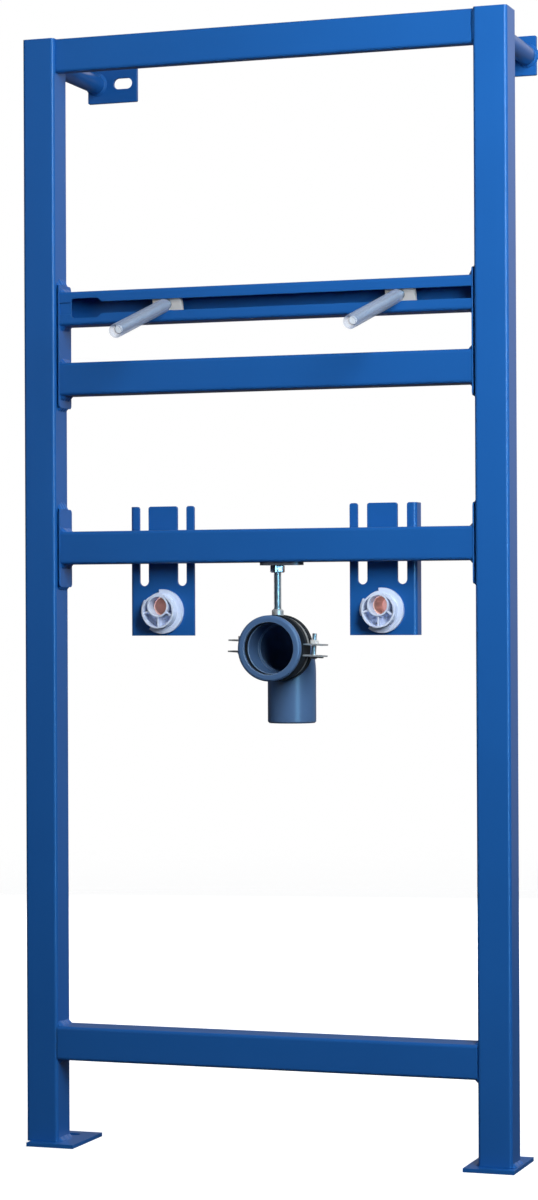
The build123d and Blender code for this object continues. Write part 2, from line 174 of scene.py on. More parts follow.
def placeGroup(tree, group, **values):
    node = tree.nodes.new("ShaderNodeGroup")
    node.node_tree = group
    for name, value in values.items():
        node.inputs[name].default_value = value
    return node


def clearWall(tree, shader, rim):
    # a clear wall is denser where it is seen edge-on, and lets most of the light through
    layer = addNode(tree, "ShaderNodeLayerWeight", Blend=0.5)
    dense = addNode(tree, "ShaderNodeMapRange", From_Min=rim["start"], From_Max=rim["end"],
                    To_Min=rim["clear"], To_Max=rim["dense"])
    ray = addNode(tree, "ShaderNodeLightPath")
    passing = addNode(tree, "ShaderNodeMapRange", To_Min=1.0, To_Max=rim["shadow"])
    alpha = addNode(tree, "ShaderNodeMath", {"operation": "MULTIPLY"})
    tree.links.new(layer.outputs["Facing"], dense.inputs["Value"])
    tree.links.new(ray.outputs["Is Shadow Ray"], passing.inputs["Value"])
    tree.links.new(dense.outputs["Result"], alpha.inputs[0])
    tree.links.new(passing.outputs["Result"], alpha.inputs[1])
    tree.links.new(alpha.outputs[0], shader.inputs["Alpha"])


def finishMaterial(name, look):
    # one finish from its dictionary: colour drift, lighter edges (handling wear and painted highlight), grain,
    # roughness
    material = bpy.data.materials.new(name)
    material.use_nodes = True
    tree = material.node_tree
    shader = tree.nodes["Principled BSDF"]
    drift = placeGroup(tree, toneDrift, Color=(*look["color"], 1), Shade=(*look["shade"], 1),
                       Scale=look["driftScale"], Amount=look["driftAmount"])
    edge = placeGroup(tree, edgeWearAndHighlight, Radius=look["edgeRadius"], Sharpness=look["edgeSharpness"])
    grain = placeGroup(tree, fineGrain, Scale=look["grainScale"], Stretch=look["grainStretch"],
                       Roughness=look["roughness"], Spread=look["roughnessSpread"])
    # lighter edge colour: partly handling wear, partly a painted highlight
    color = mixColor(tree, edge.outputs["Mask"], drift.outputs["Color"], (*look["edgeWearAndHighlightColor"], 1))
    bump = addNode(tree, "ShaderNodeBump", Strength=look["grainStrength"], Distance=look["grainDepth"])
    tree.links.new(color, shader.inputs["Base Color"])
    tree.links.new(grain.outputs["Roughness"], shader.inputs["Roughness"])
    tree.links.new(grain.outputs["Height"], bump.inputs["Height"])
    tree.links.new(edge.outputs["Normal"], bump.inputs["Normal"])
    tree.links.new(bump.outputs["Normal"], shader.inputs["Normal"])
    for label, value in look["fixed"].items():
        shader.inputs[label].default_value = value
    if "rim" in look:
        clearWall(tree, shader, look["rim"])
    return material


blueCoat = {
    "color": (0.0125, 0.113, 0.390), "shade": (0.0100, 0.095, 0.335), "driftScale": 7.0, "driftAmount": 0.5,
    "edgeWearAndHighlightColor": (0.022, 0.15, 0.46), "edgeRadius": 0.8 * mm, "edgeSharpness": 2.5,
    "grainScale": 320.0, "grainStretch": (1, 1, 1), "grainStrength": 0.003, "grainDepth": 0.10 * mm,
    "roughness": 0.30, "roughnessSpread": 0.05,
    "fixed": {"Coat Weight": 0.3, "Coat Roughness": 0.16, "Specular IOR Level": 0.42},
}
zincPlate = {
    "color": (0.95, 0.87, 0.80), "shade": (0.82, 0.75, 0.69), "driftScale": 60.0, "driftAmount": 0.7,
    "edgeWearAndHighlightColor": (0.88, 0.87, 0.85), "edgeRadius": 0.5 * mm, "edgeSharpness": 3.0,
    "grainScale": 900.0, "grainStretch": (1, 0.35, 1), "grainStrength": 0.12, "grainDepth": 0.06 * mm,
    "roughness": 0.42, "roughnessSpread": 0.2, "fixed": {"Metallic": 0.35},
}
# steel painted dark as painted shade: the studs seen inside the sleeves, and the hanger plate under the rail
paintedShadeSteel = {
    "color": (0.17, 0.18, 0.21), "shade": (0.13, 0.14, 0.17), "driftScale": 60.0, "driftAmount": 0.4,
    "edgeWearAndHighlightColor": (0.26, 0.27, 0.31), "edgeRadius": 0.3 * mm, "edgeSharpness": 2.0,
    "grainScale": 1000.0, "grainStretch": (1, 1, 1), "grainStrength": 0.05, "grainDepth": 0.03 * mm,
    "roughness": 0.34, "roughnessSpread": 0.12, "fixed": {"Metallic": 0.3},
}
studEndHighlight = {  # bright end face of a stud: a painted highlight on the stud's own steel
    "color": (0.95, 0.955, 0.96), "shade": (0.88, 0.89, 0.90), "driftScale": 200.0, "driftAmount": 0.3,
    "edgeWearAndHighlightColor": (0.97, 0.97, 0.97), "edgeRadius": 0.3 * mm, "edgeSharpness": 2.0,
    "grainScale": 1500.0, "grainStretch": (1, 1, 0.2), "grainStrength": 0.04, "grainDepth": 0.03 * mm,
    "roughness": 0.4, "roughnessSpread": 0.15, "fixed": {"Specular IOR Level": 0.8},
}
brightRod = {
    "color": (0.93, 0.93, 0.92), "shade": (0.80, 0.81, 0.82), "driftScale": 90.0, "driftAmount": 0.4,
    "edgeWearAndHighlightColor": (0.92, 0.93, 0.95), "edgeRadius": 0.2 * mm, "edgeSharpness": 2.0,
    "grainScale": 1200.0, "grainStretch": (1, 1, 0.3), "grainStrength": 0.05, "grainDepth": 0.03 * mm,
    "roughness": 0.32, "roughnessSpread": 0.12, "fixed": {"Metallic": 1.0},
}
clampSteel = {
    "color": (0.70, 0.68, 0.66), "shade": (0.57, 0.555, 0.54), "driftScale": 60.0, "driftAmount": 0.7,
    "edgeWearAndHighlightColor": (0.86, 0.86, 0.85), "edgeRadius": 0.5 * mm, "edgeSharpness": 3.0,
    "grainScale": 900.0, "grainStretch": (1, 0.35, 1), "grainStrength": 0.12, "grainDepth": 0.06 * mm,
    "roughness": 0.40, "roughnessSpread": 0.2, "fixed": {"Metallic": 0.65},
}
hangerSteel = {
    "color": (0.78, 0.67, 0.67), "shade": (0.62, 0.54, 0.55), "driftScale": 70.0, "driftAmount": 0.5,
    "edgeWearAndHighlightColor": (0.80, 0.80, 0.82), "edgeRadius": 0.3 * mm, "edgeSharpness": 2.0,
    "grainScale": 1000.0, "grainStretch": (1, 0.4, 1), "grainStrength": 0.08, "grainDepth": 0.04 * mm,
    "roughness": 0.28, "roughnessSpread": 0.12, "fixed": {"Metallic": 1.0},
}
whitePlastic = {
    "color": (0.73, 0.79, 0.96), "shade": (0.64, 0.70, 0.89), "driftScale": 40.0, "driftAmount": 0.4,
    "edgeWearAndHighlightColor": (0.92, 0.93, 0.98), "edgeRadius": 0.5 * mm, "edgeSharpness": 2.0,
    "grainScale": 1500.0, "grainStretch": (1, 1, 1), "grainStrength": 0.08, "grainDepth": 0.04 * mm,
    "roughness": 0.38, "roughnessSpread": 0.15,
    "fixed": {"Subsurface Weight": 0.5, "Subsurface Radius": (0.008, 0.008, 0.008)},
}
sleevePlastic = {
    "color": (0.40, 0.46, 0.60), "shade": (0.33, 0.39, 0.53), "driftScale": 50.0, "driftAmount": 0.6,
    "edgeWearAndHighlightColor": (0.50, 0.54, 0.56), "edgeRadius": 0.5 * mm, "edgeSharpness": 3.0,
    "grainScale": 800.0, "grainStretch": (1, 0.15, 1), "grainStrength": 0.08, "grainDepth": 0.05 * mm,
    "roughness": 0.36, "roughnessSpread": 0.15, "fixed": {"Specular IOR Level": 0.4},
    "rim": {"start": 0.68, "end": 0.90, "clear": 0.28, "dense": 0.92, "shadow": 0.3},
}
pipePlastic = {
    "color": (0.076, 0.150, 0.300), "shade": (0.062, 0.124, 0.252), "driftScale": 25.0, "driftAmount": 0.5,
    # the light edge colour is a painted highlight along the rims, the socket mouth's rim most of all
    "edgeWearAndHighlightColor": (0.36, 0.46, 0.58), "edgeRadius": 1.1 * mm, "edgeSharpness": 4.0,
    "grainScale": 1100.0, "grainStretch": (1, 1, 1), "grainStrength": 0.1, "grainDepth": 0.05 * mm,
    "roughness": 0.34, "roughnessSpread": 0.10, "fixed": {"Specular IOR Level": 0.5},
}
blackRubber = {
    "color": (0.007, 0.007, 0.009), "shade": (0.013, 0.013, 0.015), "driftScale": 80.0, "driftAmount": 0.6,
    "edgeWearAndHighlightColor": (0.03, 0.03, 0.033), "edgeRadius": 0.5 * mm, "edgeSharpness": 2.0,
    "grainScale": 1400.0, "grainStretch": (1, 1, 1), "grainStrength": 0.25, "grainDepth": 0.06 * mm,
    "roughness": 0.65, "roughnessSpread": 0.2, "fixed": {"Specular IOR Level": 0.3},
}
tabSteel = {
    "color": (0.085, 0.050, 0.045), "shade": (0.050, 0.032, 0.030), "driftScale": 90.0, "driftAmount": 0.6,
    "edgeWearAndHighlightColor": (0.16, 0.11, 0.10), "edgeRadius": 0.2 * mm, "edgeSharpness": 2.0,
    "grainScale": 1000.0, "grainStretch": (1, 0.4, 1), "grainStrength": 0.1, "grainDepth": 0.04 * mm,
    "roughness": 0.45, "roughnessSpread": 0.15, "fixed": {"Metallic": 0.6},
}
castBrass = {
    "color": (0.86, 0.58, 0.42), "shade": (0.74, 0.48, 0.33), "driftScale": 70.0, "driftAmount": 0.6,
    "edgeWearAndHighlightColor": (0.74, 0.46, 0.26), "edgeRadius": 0.4 * mm, "edgeSharpness": 2.5,
    "grainScale": 900.0, "grainStretch": (1, 0.3, 1), "grainStrength": 0.12, "grainDepth": 0.05 * mm,
    "roughness": 0.42, "roughnessSpread": 0.2, "fixed": {"Metallic": 0.5},
}

finishes = {
    "blue_coat": finishMaterial("bluePowderCoat", blueCoat),
    "zinc": finishMaterial("zincPlate", zincPlate),
    "white_plastic": finishMaterial("whitePlugPlastic", whitePlastic),
    "sleeve_plastic": finishMaterial("frostedSleeve", sleevePlastic),
    "pipe_plastic": finishMaterial("pipePlastic", pipePlastic),
    "rubber": finishMaterial("blackRubber", blackRubber),
    "brass": finishMaterial("castBrass", castBrass),
}
threadFinish = finishMaterial("brightRod", brightRod)
hangerFinish = finishMaterial("hangerSteel", hangerSteel)
clampFinish = finishMaterial("clampSteel", clampSteel)
paintedShadeFinish = finishMaterial("paintedShadeSteel", paintedShadeSteel)
tabFinish = finishMaterial("tabSteel", tabSteel)
studEndHighlightFinish = finishMaterial("studEndHighlight", studEndHighlight)

for part in frame["record"]["subparts"]:  # the CAD pieces take the finish of their slot
    mesh = nodes[part["node"]].data
    mesh.materials.clear()
    mesh.materials.append(finishes[part["material_slot"]])
# painted shade: the plate under the rail takes the dark steel in place of zinc
nodes["hanger_plate"].data.materials[0] = paintedShadeFinish  # darker than the other zinc
for name in ("clamp_upper_half", "clamp_lower_half"):
    nodes[name].data.materials[0] = clampFinish
print("finishes on", len(nodes), "pieces")


# mesh helpers

sides = {"left": -1, "right": 1}
up, back = Vector((0, 0, 1)), Vector((0, 1, 0))
smoothAngle = math.radians(40)  # sharper edges stay hard


def addPiece(name, vertices, faces, material, smooth=True):
    mesh = bpy.data.meshes.new(name)
    mesh.from_pydata([tuple(v) for v in vertices], [], faces)
    mesh.validate()
    mesh.update()
    if smooth:
        mesh.shade_smooth()
        mesh.set_sharp_from_angle(angle=smoothAngle)
    piece = bpy.data.objects.new(name, mesh)
    bpy.context.scene.collection.objects.link(piece)
    mesh.materials.append(material)
    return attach(piece, "root")


def ringFaces(rings, count, closed):
    # quads between rings of equal vertex count, capped at both ends unless closed
    faces = []
    last = rings if closed else rings - 1
    for i in range(last):
        a, b = i * count, (i + 1) % rings * count
        for k in range(count):
            n = (k + 1) % count
            faces.append((a + k, a + n, b + n, b + k))
    if not closed:
        faces.append(tuple(reversed(range(count))))
        faces.append(tuple(range((rings - 1) * count, rings * count)))
    return faces


def cornerBox(name):
    low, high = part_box(name)
    return Vector(low), Vector(high)


# weld beads

weld = {
    "step": 0.7 * mm, "ripple": 2.3 * mm, "coarse": 6.4 * mm, "driftLong": 9 * mm, "driftShort": 4.3 * mm,
    "rippleDepth": 0.16, "rippleMiddle": 0.6, "unevenness": 0.12, "crown": 0.04,  # shares of a bead's size
    "endSize": 0.35, "runOut": 1.2,  # run-out in leg lengths
    "sink": 0.4 * mm, "toeSink": 0.1 * mm,  # into the walls
    "leastSteps": 6, "bendSteps": 6, "arc": 7, "seed": 7,
}
weldRandom = random.Random(weld["seed"])


def straightRun(start, end, alongFirst, alongSecond):
    start, end = Vector(start), Vector(end)
    count = max(weld["leastSteps"], int((end - start).length / weld["step"]))
    first, second = Vector(alongFirst), Vector(alongSecond)
    return [(start.lerp(end, i / count), first, second) for i in range(count + 1)]


def roundRun(centre, axis, radius):
    # ring round a tube that stands on a plate: first leg along the tube, second outwards
    axis = Vector(axis)
    side = axis.orthogonal().normalized()
    count = int(2 * math.pi * radius / weld["step"])
    run = []
    for i in range(count):
        out = Matrix.Rotation(2 * math.pi * i / count, 3, axis) @ side
        run.append((Vector(centre) + out * radius, axis, out))
    return run


def footRun(low, high, corner, sideCount):
    # along the right side of a square tube's foot, then its back, then its left side
    stretches = [
        ((high.x, low.y + corner), (high.x, high.y - corner)),
        ((high.x - corner, high.y), (low.x + corner, high.y)),
        ((low.x, high.y - corner), (low.x, low.y + corner)),
    ][:sideCount]
    run = []
    for index, (start, end) in enumerate(stretches):
        turn = 90 * index
        out = Vector((math.cos(math.radians(turn)), math.sin(math.radians(turn)), 0))
        run += straightRun((*start, low.z), (*end, low.z), up, out)
        if index + 1 < len(stretches):
            middle = Vector((*end, low.z)) - out * corner
            for step in range(1, weld["bendSteps"]):
                angle = math.radians(turn + 90 / weld["bendSteps"] * step)
                out = Vector((math.cos(angle), math.sin(angle), 0))
                run.append((middle + out * corner, up, out))
    return run


def weldBead(name, run, legs, closed=False, hatch=1.0):
    # fillet bead of overlapping ripples in the corner that the run follows; legs lie along the two walls
    waves = [weldRandom.uniform(0, 2 * math.pi) for _ in range(3)]
    pitch = weld["coarse" if hatch > 1 else "ripple"]
    total = sum((run[i + 1][0] - run[i][0]).length for i in range(len(run) - 1))
    travelled, vertices = 0.0, []
    for index, (corner, first, second) in enumerate(run):
        if index:
            travelled += (corner - run[index - 1][0]).length
        ripple = abs(math.sin(math.pi * travelled / pitch + waves[0])) - weld["rippleMiddle"]
        drift = math.sin(travelled / weld["driftLong"] + waves[1])
        drift += math.sin(travelled / weld["driftShort"] + waves[2])
        size = 1 + weld["rippleDepth"] * hatch * ripple + weld["unevenness"] * drift / 2
        if not closed:  # the ends run out into the corner
            nearest = min(travelled, total - travelled)
            size *= min(1.0, weld["endSize"] + nearest / (weld["runOut"] * max(legs)))
        vertices.append(corner - (first + second) * weld["sink"])
        for k in range(weld["arc"]):
            angle = math.pi / 2 * k / (weld["arc"] - 1)
            along, outward = math.cos(angle), math.sin(angle)
            reach = size * (1 / (along + outward) + weld["crown"] * math.sin(2 * angle))
            toe = first * along * reach * legs[0] + second * outward * reach * legs[1]
            vertices.append(corner + toe - (first * outward + second * along) * weld["toeSink"])
    faces = ringFaces(len(run), weld["arc"] + 1, closed)
    return addPiece(name, vertices, faces, finishes["blue_coat"])


def beadPair(name, box, x, away, bead, tall=False, hatch=1.0):
    # beads along the lower and the upper edge of a piece that ends at x
    low, high = box
    front, rear = low.y + bead["inset"][0], high.y - bead["inset"][1]
    for label, z, way in (("Lower", low.z, -up), ("Upper", high.z, up)):
        run = straightRun((x, front, z), (x, rear, z), way, away)
        legs = bead["tall" if tall and label == "Upper" else "legs"]
        weldBead(name + label + "Weld", run, legs, hatch=hatch)


footBead = {
    "legs": (4.0 * mm, 3.4 * mm), "corner": 3.5 * mm,
    "sides": {"left": 2, "right": 3},  # how many sides of the tube carry the bead
}
railBead = {
    "legs": (4.6 * mm, 4.6 * mm), "tall": (8.5 * mm, 5.0 * mm), "hatch": 2.2,
    "inset": (2.5 * mm, 2.5 * mm),  # from the front and the back
}
plateBead = {
    "legs": (3.2 * mm, 3.2 * mm), "tall": (6.5 * mm, 3.6 * mm), "hatch": 2.4,
    "inset": (3.0 * mm, 5.0 * mm),
}
topBead = {"legs": (2.8 * mm, 2.8 * mm), "inset": 1 * mm}
tubeBead = {"legs": (2.6 * mm, 2.6 * mm)}
platedRails = {"basin_end_plate": ("basin_channel", "middle_rail"), "pipe_end_plate": ("pipe_rail",)}

for side, sign in sides.items():
    low, high = cornerBox(side + "_upright")
    run = footRun(low, high, footBead["corner"], footBead["sides"][side])
    weldBead(side + "FootWeld", run, footBead["legs"])

    innerX = low.x if sign > 0 else high.x  # face of the upright that the rails meet
    away = Vector((-sign, 0, 0))
    beadPair(side + "BottomRail", cornerBox("bottom_rail"), innerX, away, railBead)

    low, high = cornerBox("top_rail")
    lower, upper = low.z + topBead["inset"], high.z - topBead["inset"]
    for label, y, way in (("Front", low.y, -back), ("Back", high.y, back)):
        if side == "left" and label == "Front":
            continue  # ground flush there
        run = straightRun((innerX, y, lower), (innerX, y, upper), way, away)
        weldBead(side + "TopRail" + label + "Weld", run, topBead["legs"])

    for plate, rails in platedRails.items():
        box = cornerBox(side + "_" + plate)
        plateX = box[0].x if sign > 0 else box[1].x
        hatch = plateBead["hatch"] if side == "left" else 1.0
        beadPair(side + plate.title().replace("_", ""), box, innerX, away, plateBead, side == "left", hatch)
        for rail in rails:
            tall = side == "right" and rail == "basin_channel"
            hatch = railBead["hatch"] if rail == "middle_rail" else 1.0
            beadPair(side + rail.title().replace("_", ""), cornerBox(rail), plateX, away, railBead, tall, hatch)

    low, high = cornerBox(side + "_standoff_tube")
    centre = (low + high) / 2
    for label, y, way in (("Front", low.y, 1), ("Back", high.y, -1)):
        run = roundRun((centre.x, y, centre.z), (0, way, 0), (high.x - low.x) / 2)
        weldBead(side + "Standoff" + label + "Weld", run, tubeBead["legs"], closed=True)


# threads, nuts and screws

thread = {  # rings per turn, points round, depth as a share of the pitch, slope and width of the flanks
    "rings": 8, "around": 28, "depth": 0.61, "flank": 1.3, "root": 0.15,
}
nutForm = {"face": 0.97, "mouth": 0.4 * mm, "lead": 0.5 * mm}  # face as a share of the flats
washerForm = {"lower": 0.2 * mm, "upper": 0.3 * mm}  # chamfers of its edges
screwForm = {  # angles up the head's dome, then the shank's tip
    "dome": (0, 20, 40, 60, 75), "core": 0.1 * mm, "tip": 0.85, "taper": 0.6 * mm, "around": 32,
}


def threadedBar(name, start, direction, length, radius, pitch, material, chamfer):
    # helical thread on a solid bar; the ends run down to the core
    start, direction = Vector(start), Vector(direction).normalized()
    turn = direction.to_track_quat("Z", "Y").to_matrix()
    depth = thread["depth"] * pitch
    rings = int(length / pitch * thread["rings"]) + 1
    around = thread["around"]
    vertices = []
    for i in range(rings):
        along = length * i / (rings - 1)
        near = min(along, length - along)
        limit = radius - depth + near if near < depth + chamfer else radius
        for k in range(around):
            angle = 2 * math.pi * k / around
            phase = (along / pitch - k / around) % 1.0
            crest = min(1.0, max(0.0, abs(2 * phase - 1) * thread["flank"] - thread["root"]))
            r = min(radius - depth * (1 - crest), limit)
            vertices.append(start + turn @ Vector((r * math.cos(angle), r * math.sin(angle), along)))
    return addPiece(name, vertices, ringFaces(rings, around, False), material)


def turnedPiece(name, base, direction, profile, material, around=48, flats=0.0):
    # closed ring swept from (radius, height) points; with flats, the radii are cut back to a hexagon
    base, direction = Vector(base), Vector(direction).normalized()
    turn = direction.to_track_quat("Z", "Y").to_matrix()
    sixth = math.pi / 3
    vertices = []
    for radius, height in profile:
        for k in range(around):
            angle = 2 * math.pi * k / around
            r = radius
            if flats:
                offset = (angle + sixth / 2) % sixth - sixth / 2
                r = min(radius, flats / 2 / math.cos(offset))
            vertices.append(base + turn @ Vector((r * math.cos(angle), r * math.sin(angle), height)))
    return addPiece(name, vertices, ringFaces(len(profile), around, True), material)


def hexNut(name, base, direction, flats, height, bore, material=None):
    # hexagon with its corners chamfered at 30 degrees, bored through
    corner = flats / 2 / math.cos(math.pi / 6)
    face = flats / 2 * nutForm["face"]
    drop = (corner - face) * math.tan(math.radians(30))
    mouth, lead = bore + nutForm["mouth"], nutForm["lead"]
    profile = [(mouth, 0), (face, 0), (corner, drop), (corner, height - drop),
               (face, height), (mouth, height), (bore, height - lead), (bore, lead)]
    return turnedPiece(name, base, direction, profile, material or finishes["zinc"], flats=flats)


def washer(name, base, direction, outer, bore, height):
    lower, upper = washerForm["lower"], washerForm["upper"]
    profile = [(bore, 0), (outer - lower, 0), (outer, lower), (outer, height - upper),
               (outer - upper, height), (bore, height)]
    return turnedPiece(name, base, direction, profile, finishes["zinc"])


def roundHeadScrew(name, seat, direction, head, shank, length):
    # plain pan head on the seat, and a shank through the seat
    dome = [(head["radius"] * math.cos(a), head["height"] * math.sin(a))
            for a in (math.radians(v) for v in screwForm["dome"])]
    core, tip = screwForm["core"], shank * screwForm["tip"]
    profile = [(core, -length), (tip, -length), (shank, -length + screwForm["taper"]), (shank, 0)]
    profile += dome + [(core, head["height"])]
    return turnedPiece(name, seat, direction, profile, finishes["zinc"], around=screwForm["around"])


hangerRod = {"pitch": 1.25 * mm, "chamfer": 0.5 * mm}
low, high = cornerBox("hanger_rod")
centre = (low + high) / 2
rodRadius = (high.x - low.x) / 2
rod = threadedBar("hangerThread", (centre.x, centre.y, low.z), up, high.z - low.z, rodRadius,
                  hangerRod["pitch"], threadFinish, hangerRod["chamfer"])
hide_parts("hanger_rod")

low, high = cornerBox("hanger_nut")
nut = hexNut("hangerLockNut", (centre.x, centre.y, low.z), up, high.y - low.y, high.z - low.z,
             rodRadius, hangerFinish)
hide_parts("hanger_nut")

studThread = {"radius": 5.0 * mm, "pitch": 1.5 * mm, "chamfer": 0.8 * mm}
for side in sides:
    axis = Vector(mounts[side + "_basin_stud"]["axis"]).normalized()
    middle = Vector(mounts[side + "_basin_stud"]["pos_m"])
    reach = [(v.co - middle).dot(axis) for v in nodes[side + "_stud"].data.vertices]
    start, end = min(reach), max(reach)
    # the stud body takes the dark steel as painted shade inside the sleeve
    stud = threadedBar(side + "StudThread", middle + axis * start, axis, end - start, studThread["radius"],
                       studThread["pitch"], paintedShadeFinish, studThread["chamfer"])
    # the tip's end face takes the painted highlight
    stud.data.materials.append(studEndHighlightFinish)
    stud.data.polygons[-1].material_index = 1  # end face at the tip
    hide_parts(side + "_stud")
print("threads cut")

clampScrew = {
    "reach": 38.65 * mm, "shank": 2.5 * mm, "pitch": 0.8 * mm, "chamfer": 0.4 * mm, "stub": 2 * mm,
    "proud": {"left": 0.8 * mm, "right": 6.5 * mm},  # the left tip stays hidden behind the bead
    "nutFlats": 8.0 * mm, "nutHeight": 4.0 * mm, "head": {"radius": 4.6 * mm, "height": 3.0 * mm},
    "earTip": 0.4 * mm,
}
tab = {
    "span": (-8.0 * mm, 9.5 * mm), "half": 5.0 * mm, "thick": 0.9 * mm, "gap": 0.05 * mm, "droop": 0.4 * mm,
    "taper": 0.25, "steps": 10,
}
hub = Vector(mounts["waste_socket"]["pos_m"])
low, high = cornerBox("clamp_upper_half")
hub.y = (low.y + high.y) / 2


def earEnd(name, sign):
    # vertices at the tip of a clamp half's ear
    tip = max(sign * v.co.x for v in nodes[name].data.vertices)
    return [v.co.copy() for v in nodes[name].data.vertices if sign * v.co.x > tip - clampScrew["earTip"]]


for side, sign in sides.items():
    above, below = earEnd("clamp_upper_half", sign), earEnd("clamp_lower_half", sign)
    tips = above + below
    middle = sum(tips, Vector()) / len(tips) - hub
    along = Vector((middle.x, 0, middle.z)).normalized()  # the ears' own slope
    normal = Vector((-along.z, 0, along.x)) * sign
    top = max((v - hub).dot(normal) for v in above)
    bottom = min((v - hub).dot(normal) for v in below)
    seat = hub + along * clampScrew["reach"]
    roundHeadScrew(side + "ClampScrew", seat + normal * bottom, -normal, clampScrew["head"],
                   clampScrew["shank"], clampScrew["stub"])
    length = top - bottom + clampScrew["nutHeight"] + clampScrew["proud"][side]
    threadedBar(side + "ClampThread", seat + normal * bottom, normal, length, clampScrew["shank"],
                clampScrew["pitch"], threadFinish, clampScrew["chamfer"])
    hexNut(side + "ClampNut", seat + normal * top, normal, clampScrew["nutFlats"],
           clampScrew["nutHeight"], clampScrew["shank"])
    if side == "right":  # thin tab held under the lower ear
        start, end = tab["span"]
        vertices = []
        for i in range(tab["steps"] + 1):
            share = i / tab["steps"]
            place = start + (end - start) * share
            half = tab["half"] * (1 - tab["taper"] * share ** 3)
            level = bottom - tab["gap"] - tab["droop"] * share ** 2
            under = level - tab["thick"]
            for y, z in ((-half, level), (half, level), (half, under), (-half, under)):
                vertices.append(seat + along * place + normal * z + Vector((0, y, 0)))
        faces = ringFaces(tab["steps"] + 1, 4, False)
        addPiece("clampTab", vertices, faces, tabFinish, smooth=False)

bracketBolt = {
    "radius": 4.0 * mm, "flats": 13.0 * mm, "head": 5.3 * mm, "centre": 0.2 * mm,
    "washer": 8.0 * mm, "thick": 1.6 * mm, "offset": 21 * mm, "sheet": 3 * mm,
}
low, high = cornerBox("pipe_rail")
boltZ = (low.z + high.z) / 2
for side, sign in sides.items():
    sheetBack = cornerBox(side + "_tap_bracket")[0].y + bracketBolt["sheet"]
    tapX = mounts[side + "_tap"]["pos_m"][0]
    for label, offset in (("Inner", -bracketBolt["offset"]), ("Outer", bracketBolt["offset"])):
        seat = Vector((tapX + sign * offset, sheetBack, boltZ))
        washer(side + label + "Washer", seat, back, bracketBolt["washer"], bracketBolt["radius"],
               bracketBolt["thick"])
        top = seat + Vector((0, bracketBolt["thick"], 0))
        hexNut(side + label + "BoltHead", top, back, bracketBolt["flats"], bracketBolt["head"],
               bracketBolt["centre"])
print("fasteners in place")


# stage, light and camera

stage = {
    "half": 5.0, "drop": 0.2 * mm, "seen": (0.62, 0.62, 0.63), "bounce": (0.05, 0.05, 0.055), "glow": 0.78,
    "roughness": 0.9, "specular": 0.1, "fadeStart": 0.9, "fadeEnd": 4.2,
}
mesh = bpy.data.meshes.new("studioFloor")
half = stage["half"]
mesh.from_pydata([(-half, -half, 0), (half, -half, 0), (half, half, 0), (-half, half, 0)], [], [(0, 1, 2, 3)])
floor = bpy.data.objects.new("studioFloor", mesh)
floor.location.z = cadBox[0][2] - stage["drop"]
bpy.context.scene.collection.objects.link(floor)
floorPaint = bpy.data.materials.new("paleFloor")
floorPaint.use_nodes = True
tree = floorPaint.node_tree
place = addNode(tree, "ShaderNodeNewGeometry")
reach = addNode(tree, "ShaderNodeVectorMath", {"operation": "LENGTH"})
fade = addNode(tree, "ShaderNodeMapRange", {"interpolation_type": "SMOOTHSTEP"},
               From_Min=stage["fadeStart"], From_Max=stage["fadeEnd"])
clear = addNode(tree, "ShaderNodeBsdfTransparent")
blend = addNode(tree, "ShaderNodeMixShader")
ray = addNode(tree, "ShaderNodeLightPath")
glow = addNode(tree, "ShaderNodeMath", {"operation": "MULTIPLY"})
glow.inputs[1].default_value = stage["glow"]  # lifts the floor towards white for the camera alone
paint = tree.nodes["Principled BSDF"]
tone = mixColor(tree, ray.outputs["Is Camera Ray"], (*stage["bounce"], 1), (*stage["seen"], 1))
tree.links.new(tone, paint.inputs["Base Color"])
paint.inputs["Roughness"].default_value = stage["roughness"]
paint.inputs["Specular IOR Level"].default_value = stage["specular"]
paint.inputs["Emission Color"].default_value = (1, 1, 1, 1)
tree.links.new(ray.outputs["Is Camera Ray"], glow.inputs[0])
tree.links.new(glow.outputs[0], paint.inputs["Emission Strength"])
tree.links.new(place.outputs["Position"], reach.inputs[0])
tree.links.new(reach.outputs["Value"], fade.inputs["Value"])
tree.links.new(fade.outputs["Result"], blend.inputs["Fac"])
tree.links.new(paint.outputs[0], blend.inputs[1])
tree.links.new(clear.outputs[0], blend.inputs[2])
tree.links.new(blend.outputs[0], tree.nodes["Material Output"].inputs["Surface"])
mesh.materials.append(floorPaint)

studio = {  # brightest behind, a little to the right; dim in front
    "behind": 1.0, "front": 0.14, "depthRange": (-0.35, 0.45),
    "seen": 1.0, "low": 0.2, "riseRange": (-0.2, 0.5),
    "across": ((-0.25, (0.18, 0.18, 0.18)), (0.12, (0.72, 0.69, 0.70)),
               (0.25, (1.0, 0.93, 0.97)), (0.40, (0.30, 0.38, 0.43))),
}
world = bpy.data.worlds.new("studioWorld")
bpy.context.scene.world = world
world.use_nodes = True
tree = world.node_tree
tree.nodes.clear()
where = addNode(tree, "ShaderNodeTexCoord")
split = addNode(tree, "ShaderNodeSeparateXYZ")
toBack = addNode(tree, "ShaderNodeMapRange", {"interpolation_type": "SMOOTHSTEP"},
                 From_Min=studio["depthRange"][0], From_Max=studio["depthRange"][1],
                 To_Min=studio["front"], To_Max=studio["behind"])
ray = addNode(tree, "ShaderNodeLightPath")
pick = addNode(tree, "ShaderNodeMix", {"data_type": "FLOAT"})
rise = addNode(tree, "ShaderNodeMapRange", {"interpolation_type": "SMOOTHSTEP"},
               From_Min=studio["riseRange"][0], From_Max=studio["riseRange"][1],
               To_Min=studio["low"], To_Max=1.0)
toUnit = addNode(tree, "ShaderNodeMapRange", From_Min=-1.0, From_Max=1.0)
across = addNode(tree, "ShaderNodeValToRGB")
ramp = across.color_ramp.elements
